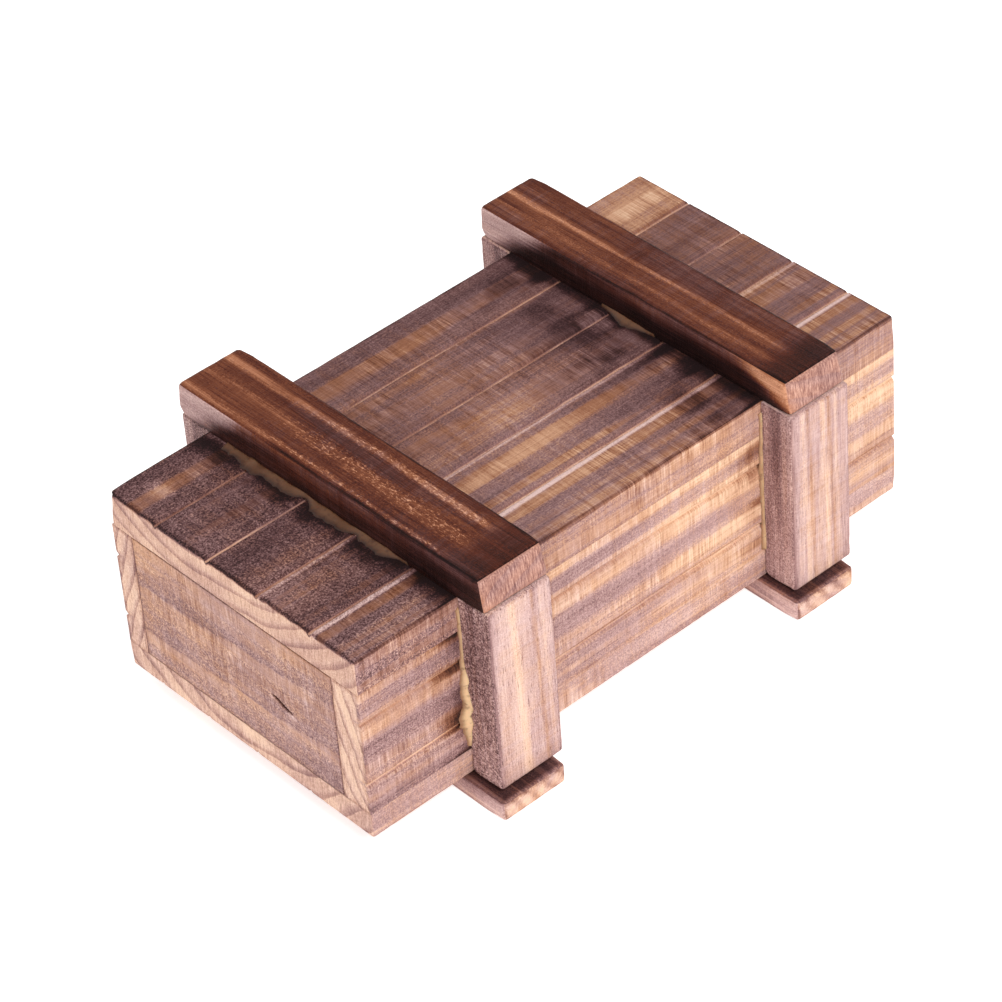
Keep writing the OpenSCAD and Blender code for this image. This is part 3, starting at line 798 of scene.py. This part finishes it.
def add_top_bar(node, seed, streaks, redness, painted_light_strip, glow):
    """Red-brown charred bar with light streaks along it; the walls are nearly black.

    painted_light_strip is how much painted light brightens the walls near their upper arris. glow is 1
    where the right end of the front wall shows bare orange wood, and 0 where it doesn't.
    """
    fine_y = [streak[0] + offset for streak in streaks for offset in STREAK_OFFSETS]
    b = Block(node, seed, (0.6, 0.5, 0.5), ((), fine_y, ()))
    upper = smooth(b.z, 39.5, 43.0)
    at_left = 1 - smooth(b.x - b.low[0], 0.5, 4.0)
    b.wear(0.2 + 0.38 * upper + 0.5 * at_left + 0.4 * smooth(b.x, 31, 34) + b.chips(1.8, 0.25))
    round_corner(b.points, (0, 2), (b.low[0], b.low[2]), (1, 1), 1.8)
    lean = 0.9 * (b.z - b.low[2]) / (b.high[2] - b.low[2])
    b.points[:, 0] -= lean * smooth(b.x, 20, b.high[0])

    top = b.on(2, 1)
    wall = b.both(1)
    ends = b.both(0)
    y = b.y + 0.35 * b.mottle(14, 5, 5) + 0.12 * b.mottle(2.5, 1, 2)
    leftward = 1 - smooth(b.x + 3 * b.mottle(9, 1.6, 3), -24, -6)
    burn_and_shade = 0.05 * b.mottle(18, 1.1, 3)
    burn_and_shade -= 0.10 * leftward * (1 + b.mottle(30, 0.7, 3))
    fading = 1 - smooth(b.x + 2 * b.mottle(4, 4, 3), 24, 30)
    burn_and_shade += 0.10 * smooth(b.mottle(40, 0.5, 3), 0.25, 0.6) * leftward
    for centre, half, gain in streaks:
        line = band(y, centre, half * (1 + 0.4 * leftward), 0.35)
        burn_and_shade -= gain * line * fading * (1 + 0.3 * b.mottle(7, 1, 9))
    burn_and_shade += (0.12 + 0.12 * glow) * smooth(b.x, 25, 32) - 0.035 * glow * smooth(b.x, -8, 8)
    arris = (1 - smooth(b.y - b.low[1], 0.2, 1.1)) + (1 - smooth(b.high[1] - b.y, 0.2, 1.1))
    burn_and_shade += 0.16 * arris * (1 - leftward) * (0.6 + 0.5 * b.mottle(5, 2, 2))
    fade_end = -25 + 1.9 * (b.z - 41.5) + 1.2 * b.mottle(4, 4, 3)
    fade = 1 - smooth(b.x - fade_end, -4.5, 4.0)
    glow_start = 25 + 2.2 * (43.5 - b.z) + 0.8 * b.mottle(4, 4, 1)
    glowing = glow * smooth(b.x - glow_start, -5.0, 3.5) * b.on(1, -1)
    # Painted light on the walls: they lighten towards their upper arris and stay darker down by the
    # board.
    painted_wall_light = painted_light_strip * (1 - glow * (1 - smooth(b.x, -14, 4)))
    wall_burn_and_shade = 0.19 - painted_wall_light * smooth(b.z, 40.6 + glow, 43.8) + 0.06 * b.mottle(6, 3, 2)
    wall_burn_and_shade += 0.15 * glow * (1 - smooth(b.z, 39.8, 43.2)) + 0.10 * (1 - glow) * smooth(b.x, 8, 26)
    wall_burn_and_shade = wall_burn_and_shade * (1 - fade) * (1 - glowing) - 0.43 * fade - 0.52 * glowing
    burn_and_shade = burn_and_shade * (1 - wall) + wall_burn_and_shade * wall
    burn_and_shade = burn_and_shade * (1 - ends) - 0.42 * ends
    # Painted shade in each end's lower front corner, where the bar meets the board, and char along the
    # ends' arrises: both hold back the pale sawn-end look.
    corner = 1 - smooth(np.hypot(b.y - b.low[1], (b.z - b.low[2]) * 0.5), 0.3, 2.2)
    shade = 0.55 * corner + 0.25 * (1 - smooth(b.edge, 0, 0.6))
    b.paint["burn_and_shade"] = burn_and_shade
    wall_warm = -1.1 * fade - 0.25 * (1 - glowing) + 0.4 * glowing
    b.paint["warm"] = wall_warm * wall + 0.2 * leftward * top
    b.paint["kind"] = 0.5 * fade * wall
    b.paint["raw"] = ends * np.clip(1 - shade, 0, 1)
    flecked = sum(ridge(y, centre, 1.6 * half) for centre, half, _ in streaks) * top
    b.paint["fleck"] = flecked * fading * (1 - leftward) * (1 - 0.75 * glow)
    b.paint["edge"] = b.near_face(2, 1, 1.3) * (1 - b.on(0, 1)) * (1 - 0.8 * leftward)
    look = wood("charred_" + node, "X", (0.0, 8.0, -22.0), ring=2.9, base=0.60, rings=0.04,
                fibre=0.20, hatch=0.05, salt=0.14, streaks=0.02, streak_width=0.9, warm=redness,
                kind_warm=0.0, warm_ramp=RED, seed=seed, roughness=0.5, edge_burn=0.18,
                saw=(0.24, 0.24, 5.0), raw_level=0.25, raw_rings=0.06, raw_warm=0.45, raw_saw=0.8,
                raw_grit=0.25, flecks=0.46, specular=0.08, tones=0.5)
    b.finish(look, "crate", "scorched_bar")


def add_post(node, side, seed, streaks, lines, pores):
    """Pale upright with light streaks and thin dark lines; its long arrises are worn round.

    A streak is a place across its outer face and a half width, and a line is a place; side is 1
    on the right of the crate and -1 on the left.
    """
    b = Block(node, seed, (0.6, 0.5, 0.6))
    inner = b.low[0] if side > 0 else b.high[0]
    b.wear(0.25 + 0.28 * smooth(np.abs(b.x - inner), 2.5, 5.5) + b.chips(1.6, 0.22))
    round_corner(b.points, (0, 2), (inner, b.low[2]), (side, 1), 1.2)
    outer = b.on(0, side)
    walls = b.both(1)
    y = b.y - b.low[1] + 0.035 * (b.z - 37) + 0.15 * b.mottle(3, 2, 9)
    light = sum(band(y, centre, half, 0.45) for centre, half in streaks) * outer
    dark = sum(band(y, line, 0.25, 0.4) for line in lines) * outer
    burn_and_shade = 0.04 * b.mottle(3, 1.0, 14) + 0.03 * b.mottle(5, 5, 9) - 0.07 * light
    burn_and_shade += 0.13 * dark * (0.8 + 0.5 * b.mottle(3, 3, 8))
    burn_and_shade += 0.14 * (1 - smooth(b.y - b.low[1], 0.1, 1.2)) * outer
    pink = smooth(y, 5.5, 10.5) * outer
    burn_and_shade += 0.06 * pink
    # Painted shade with scorch on the two walls: darker than the outer face, and darkest next to the
    # crate, lightening outwards as shade rises to 1.
    shade = smooth(side * (b.x - inner), 0.5, 6.0)
    wall_burn_and_shade = 0.25 if node.startswith("front") else 0.18
    burn_and_shade += (wall_burn_and_shade - 0.06 * shade + 0.08 * b.mottle(0.8, 3, 12)) * walls
    burn_and_shade += 0.14 * ridge(side * (b.x - inner), 2.8, 1.1) * smooth(b.z, 18, 26) * walls
    burn_and_shade -= 0.07 * (1 - smooth(b.z, 6, 16)) * walls
    burn_and_shade += 0.05 * (1 - smooth(b.z, 4, 9)) * outer
    b.paint["burn_and_shade"] = burn_and_shade
    char = (1 - smooth(b.y - b.low[1], 0.2, 1.6)) * outer
    b.paint["warm"] = 0.4 * light + 0.7 * dark - 0.5 * walls - 0.3 * char - 0.2 * pink
    b.paint["kind"] = walls - 0.6 * outer
    b.paint["speck"] = 0.9 * node.startswith("front") + 0.4 * walls
    look = wood("post_" + node, "Z", (side * 90.0, -20.0, 0.0), ring=1.5, base=0.15, rings=0.03,
                fibre=0.17, hatch=0.05, salt=0.17, streaks=0.01, streak_width=0.7, pores=pores,
                warm=0.12, kind_warm=0.2, seed=seed, edge_burn=0.06, tones=0.9)
    b.finish(look, "crate", "post_wood")


def add_foot(node, body, seed):
    """Foot bar with worn plan corners, pale banded ends and painted shade on its upper face, which
    lies in the gap under the crate.
    """
    b = Block(node, seed, (0.6, 0.5, 0.5))
    for end, inward in ((b.low[0], 1), (b.high[0], -1)):
        for edge, other in ((b.low[1], 1), (b.high[1], -1)):
            round_corner(b.points, (0, 1), (end, edge), (inward, other), 1.0)
    tip = 1 - smooth(np.minimum(b.x - b.low[0], b.high[0] - b.x), 1.0, 4.0)
    b.wear(0.25 + 0.45 * tip + b.chips(1.6, 0.25))
    ends = b.both(0)
    top = b.on(2, 1)
    # Painted shade: the upper face, in the gap under the posts and crate, is darkened away from its
    # arrises.
    burn_and_shade = 0.42 * top * smooth(b.edge, 0.2, 1.2) + 0.06 * b.mottle(9, 1.5, 2)
    slant = np.sin((b.y + 0.7 * b.z) * 2.0 + 2.2 * b.mottle(3, 3, 2))
    burn_and_shade += (0.18 * smooth(slant, 0.0, 0.8) - 0.07) * ends
    burn_and_shade += 0.08 * (1 - ends)
    out_end = smooth(np.abs(b.x), 29, 35)
    burn_and_shade -= b.on(1, -1) * (0.05 + 0.17 * out_end)
    b.paint["burn_and_shade"] = burn_and_shade
    b.paint["warm"] = 0.2 * ends - 0.35 * b.on(1, -1)
    b.paint["kind"] = 0.4 * (1 - ends) - ends
    look = wood("foot_" + node, "X", (0.0, 12.0, -39.0), ring=2.2, base=0.22, rings=0.05,
                fibre=0.13, hatch=0.06, salt=0.12, warm=0.40, kind_warm=0.2, seed=seed,
                edge_burn=0.14)
    b.finish(look, body, "foot_wood")


# -------- glue


def glue_ribbon(name, start, end, out, up, width, height, seed, material):
    """A bead of hardened glue in a corner: it runs from start to end and spreads outwards."""
    count = GLUE_SLICES
    t = np.linspace(0, 1, count)
    noise = Field(seed)
    length = np.linalg.norm(end - start)
    line = start + np.outer(t, end - start)
    along = np.stack([t * length, t * 0, t * 0], axis=1)
    lumps = 0.24 * noise(along, (2.1, 1, 1)) + 0.13 * noise(along, (0.6, 1, 1))
    reach = width(t * length) * (1 + lumps)
    tall = height(t * length) * (1 + 0.35 * noise(along, (1.7, 1, 1)))
    taper = smooth(t, 0, 0.012) * (1 - smooth(t, 0.988, 1))
    reach = np.maximum(reach * taper, 0.06)
    tall = np.maximum(tall * taper, 0.04)
    points = []
    thick = []
    rim = []
    for s in np.linspace(0, 1, GLUE_STEPS):
        rise = tall * (1 - s) ** 0.75 * (0.75 + 0.25 * np.cos(s * 3.1)) + 0.05 * (1 - s ** 6)
        points.append(line + np.outer(reach * s, out) + np.outer(rise, up))
        thick.append(rise)
        rim.append(np.full(count, s))
    for s in (1.0, 0.0):
        points.append(line + np.outer(reach * s, out) - GLUE_SUNK * up)
        thick.append(np.zeros(count))
        rim.append(np.full(count, s))
    ring = len(points)
    cloud = np.stack(points, axis=1).reshape(-1, 3)
    paint = {"thick": np.stack(thick, axis=1).ravel(), "rim": np.stack(rim, axis=1).ravel()}
    faces = []
    for i in range(count - 1):
        for j in range(ring):
            a, b = i * ring + j, i * ring + (j + 1) % ring
            faces.append((a, b, b + ring, a + ring))
    turn = np.dot(np.cross(end - start, out), up) < 0
    ends = [tuple(range(ring)), tuple(range((count - 1) * ring, count * ring))[::-1]]
    faces = [f[::-1] for f in faces] if turn else faces
    ends = [e if turn else e[::-1] for e in ends]
    obj = make_object(name, cloud, faces + ends, material, paint)
    hand_over(obj, "crate", "glue", "glue_beads")


def add_glue():
    """Squeezed-out glue along both top bars and the two right posts."""
    khaki = glue_look("glue_khaki", (98, 63, 43), (116, 78, 52), (80, 48, 33), (48, 25, 19))
    cream = glue_look("glue_cream", (178, 137, 98), (226, 188, 144), (124, 86, 54), (128, 82, 54))
    crate_top = node_box("top_board")[1][2]
    crate_right = node_box("right_board")[1][0]
    out = np.array((0.0, -1.0, 0.0))
    up = np.array((0.0, 0.0, 1.0))
    right = np.array((1.0, 0.0, 0.0))

    def front_width(s):
        return glue_reach(s + FRONT_GLUE[0])

    def rear_width(s):
        return 0.1 + 1.1 * ridge(s, 6.0, 3.0)

    def low_bead(s):
        return 0.5 + 0 * s

    def post_width(s):
        return 0.45 + 1.5 * ridge(s, 5.8, 2.6) + 0.5 * ridge(s, 12.5, 3.5)

    def post_climb(s):
        return 0.25 + 1.0 * ridge(s, 5.6, 2.8) + 0.55 * smooth(s, 6, 8) * (1 - smooth(s, 14, 18))

    def rear_post_width(s):
        return 0.55 + 0.3 * ridge(s, 15.0, 5.0)

    def rear_post_climb(s):
        return 0.3 + 0 * s

    along_bars = (
        ("front_top_bar", 61, FRONT_GLUE, front_width),
        ("rear_top_bar", 62, REAR_GLUE, rear_width),
    )
    for node, seed, span, width in along_bars:
        wall = node_box(node)[0][1]
        start, end = (np.array((x, wall, crate_top)) for x in span)
        glue_ribbon("glue_" + node, start, end, out, up, width, low_bead, seed, khaki)
    up_posts = (
        ("front_right_post", 63, post_width, post_climb),
        ("rear_right_post", 64, rear_post_width, rear_post_climb),
    )
    for node, seed, width, climb in up_posts:
        wall = node_box(node)[0][1]
        start, end = (np.array((crate_right, wall, z)) for z in POST_GLUE)
        glue_ribbon("glue_" + node, start, end, out, right, width, climb, seed, cream)


# -------- drawer and lock


def add_tray():
    """Plain pale wood of the drawer behind its front and of the lock's hidden parts; steel screws."""
    walls = (("drawer_left_side", 41, "Y"), ("drawer_right_side", 42, "Y"), ("drawer_back", 43, "X"))
    for node, seed, along in walls:
        b = Block(node, seed, (0.9, 0.9, 0.9))
        b.wear(0.18 + b.chips(1.6, 0.15))
        b.paint["burn_and_shade"] = 0.04 * b.mottle(6, 12, 3)
        look = wood("tray_" + node, along, (20.0, 20.0, -30.0), ring=2.6, base=0.06, rings=0.12,
                    fibre=0.10, hatch=0.05, salt=0.04, warm=0.75, seed=seed, edge_burn=0.05)
        b.finish(look, "drawer", "tray_wood")
    floor_wood = wood("tray_floor", "Y", (-10.0, 0.0, -40.0), ring=3.0, base=0.07, rings=0.12,
                      fibre=0.10, hatch=0.05, salt=0.04, warm=0.75, seed=44)
    key_wood = wood("key_wood", "X", (0.0, -50.0, -20.0), ring=2.2, base=0.10, rings=0.12,
                    fibre=0.10, salt=0.05, warm=0.7, seed=45)
    dowel_wood = wood("dowel_wood", "Z", (6.0, -34.0, 0.0), ring=1.3, base=0.05, rings=0.10,
                      fibre=0.10, salt=0.04, warm=0.6, seed=46)
    plain_parts = (
        ("drawer_floor", floor_wood), ("lock_key", key_wood), ("lock_keeper", key_wood),
        ("lock_pin", dowel_wood), ("keeper_screws", steel_look()),
    )
    for node, look in plain_parts:
        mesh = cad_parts[node].data
        mesh.materials.clear()
        mesh.materials.append(look)


# -------- studio


def add_camera():
    """Camera at the photo's angle, turned slightly about its own axis as the photo is."""
    a, e, r = (math.radians(v) for v in (AZIMUTH, ELEVATION, ROLL))
    back = Vector((math.sin(a) * math.cos(e), -math.cos(a) * math.cos(e), math.sin(e)))
    level = Vector((math.cos(a), math.sin(a), 0))
    right = level * math.cos(r) + back.cross(level) * math.sin(r)
    up = back.cross(right)
    camera = bpy.data.objects.new("camera", bpy.data.cameras.new("camera"))
    bpy.context.scene.collection.objects.link(camera)
    turn = camera.matrix_world.copy()
    for row in range(3):
        for column, axis in enumerate((right, up, back)):
            turn[row][column] = axis[row]
    camera.matrix_world = turn
    camera.location = (back * DISTANCE + right * AIM_RIGHT + up * AIM_UP) * MM
    camera.data.lens = LENS
    camera.data.clip_start = 0.01
    camera.data.clip_end = 20
    bpy.context.scene.camera = camera


def add_studio():
    """Pale floor, white surround and one large soft lamp."""
    scene = bpy.context.scene
    scene.view_settings.view_transform = "Standard"
    world = bpy.data.worlds.new("studio")
    scene.world = world
    world.use_nodes = True
    background = world.node_tree.nodes["Background"]
    background.inputs["Color"].default_value = (1.0, 1.0, 1.0, 1.0)
    background.inputs["Strength"].default_value = SKY_STRENGTH

    net = Net("floor")
    grain = net.noise(net.place(), (30, 30, 30), detail=3.0)
    colour = net.mix(grain, rgb(250, 250, 250), rgb(253, 253, 253))
    net.shade("Base Color", colour)
    net.shade("Roughness", 0.9)
    net.shade("Specular IOR Level", 0.0)
    net.shade("Emission Color", (1.0, 1.0, 1.0, 1.0))
    net.shade("Emission Strength", FLOOR_GLOW)
    corners = FLOOR_HALF * np.array(((-1, -1, 0), (1, -1, 0), (1, 1, 0), (-1, 1, 0)), float)
    floor = make_object("floor", corners, [(0, 1, 2, 3)], net.material)

    key = bpy.data.objects.new("key", bpy.data.lights.new("key", "AREA"))
    key.data.shape = "DISK"
    key.data.size = KEY_SIZE
    key.data.energy = KEY_POWER
    key.location = KEY_PLACE
    key.rotation_euler = (Vector(KEY_AIM) - key.location).to_track_quat("-Z", "Y").to_euler()
    scene.collection.objects.link(key)


add_camera()
add_studio()
add_top_board()
add_side_board("right_board", 1, seed=3)
add_side_board("left_board", -1, seed=4)
add_bottom_board()
add_end_panel("drawer_front", "drawer", seed=6)
add_end_panel("rear_panel", "crate", seed=7)
add_top_bar("front_top_bar", 8, FRONT_BAR_STREAKS, redness=0.95, painted_light_strip=0.24, glow=0.0)
add_top_bar("rear_top_bar", 9, REAR_BAR_STREAKS, redness=0.85, painted_light_strip=0.32, glow=1.0)
add_post("front_right_post", 1, 31, ((4.6, 0.7), (10.2, 0.25)), lines=(8.6,), pores=0.28)
add_post("rear_right_post", 1, 32, ((2.4, 0.5), (6.8, 0.5), (9.4, 0.4)), lines=(3.6, 8.1), pores=0.08)
add_post("front_left_post", -1, 33, ((3.0, 0.5), (7.9, 0.7)), lines=(5.5,), pores=0.20)
add_post("rear_left_post", -1, 34, ((5.2, 0.6), (8.8, 0.4)), lines=(3.1,), pores=0.14)
add_foot("lock_bar", "lock", seed=36)
add_foot("rear_foot_bar", "crate", seed=37)
add_glue()
add_tray()
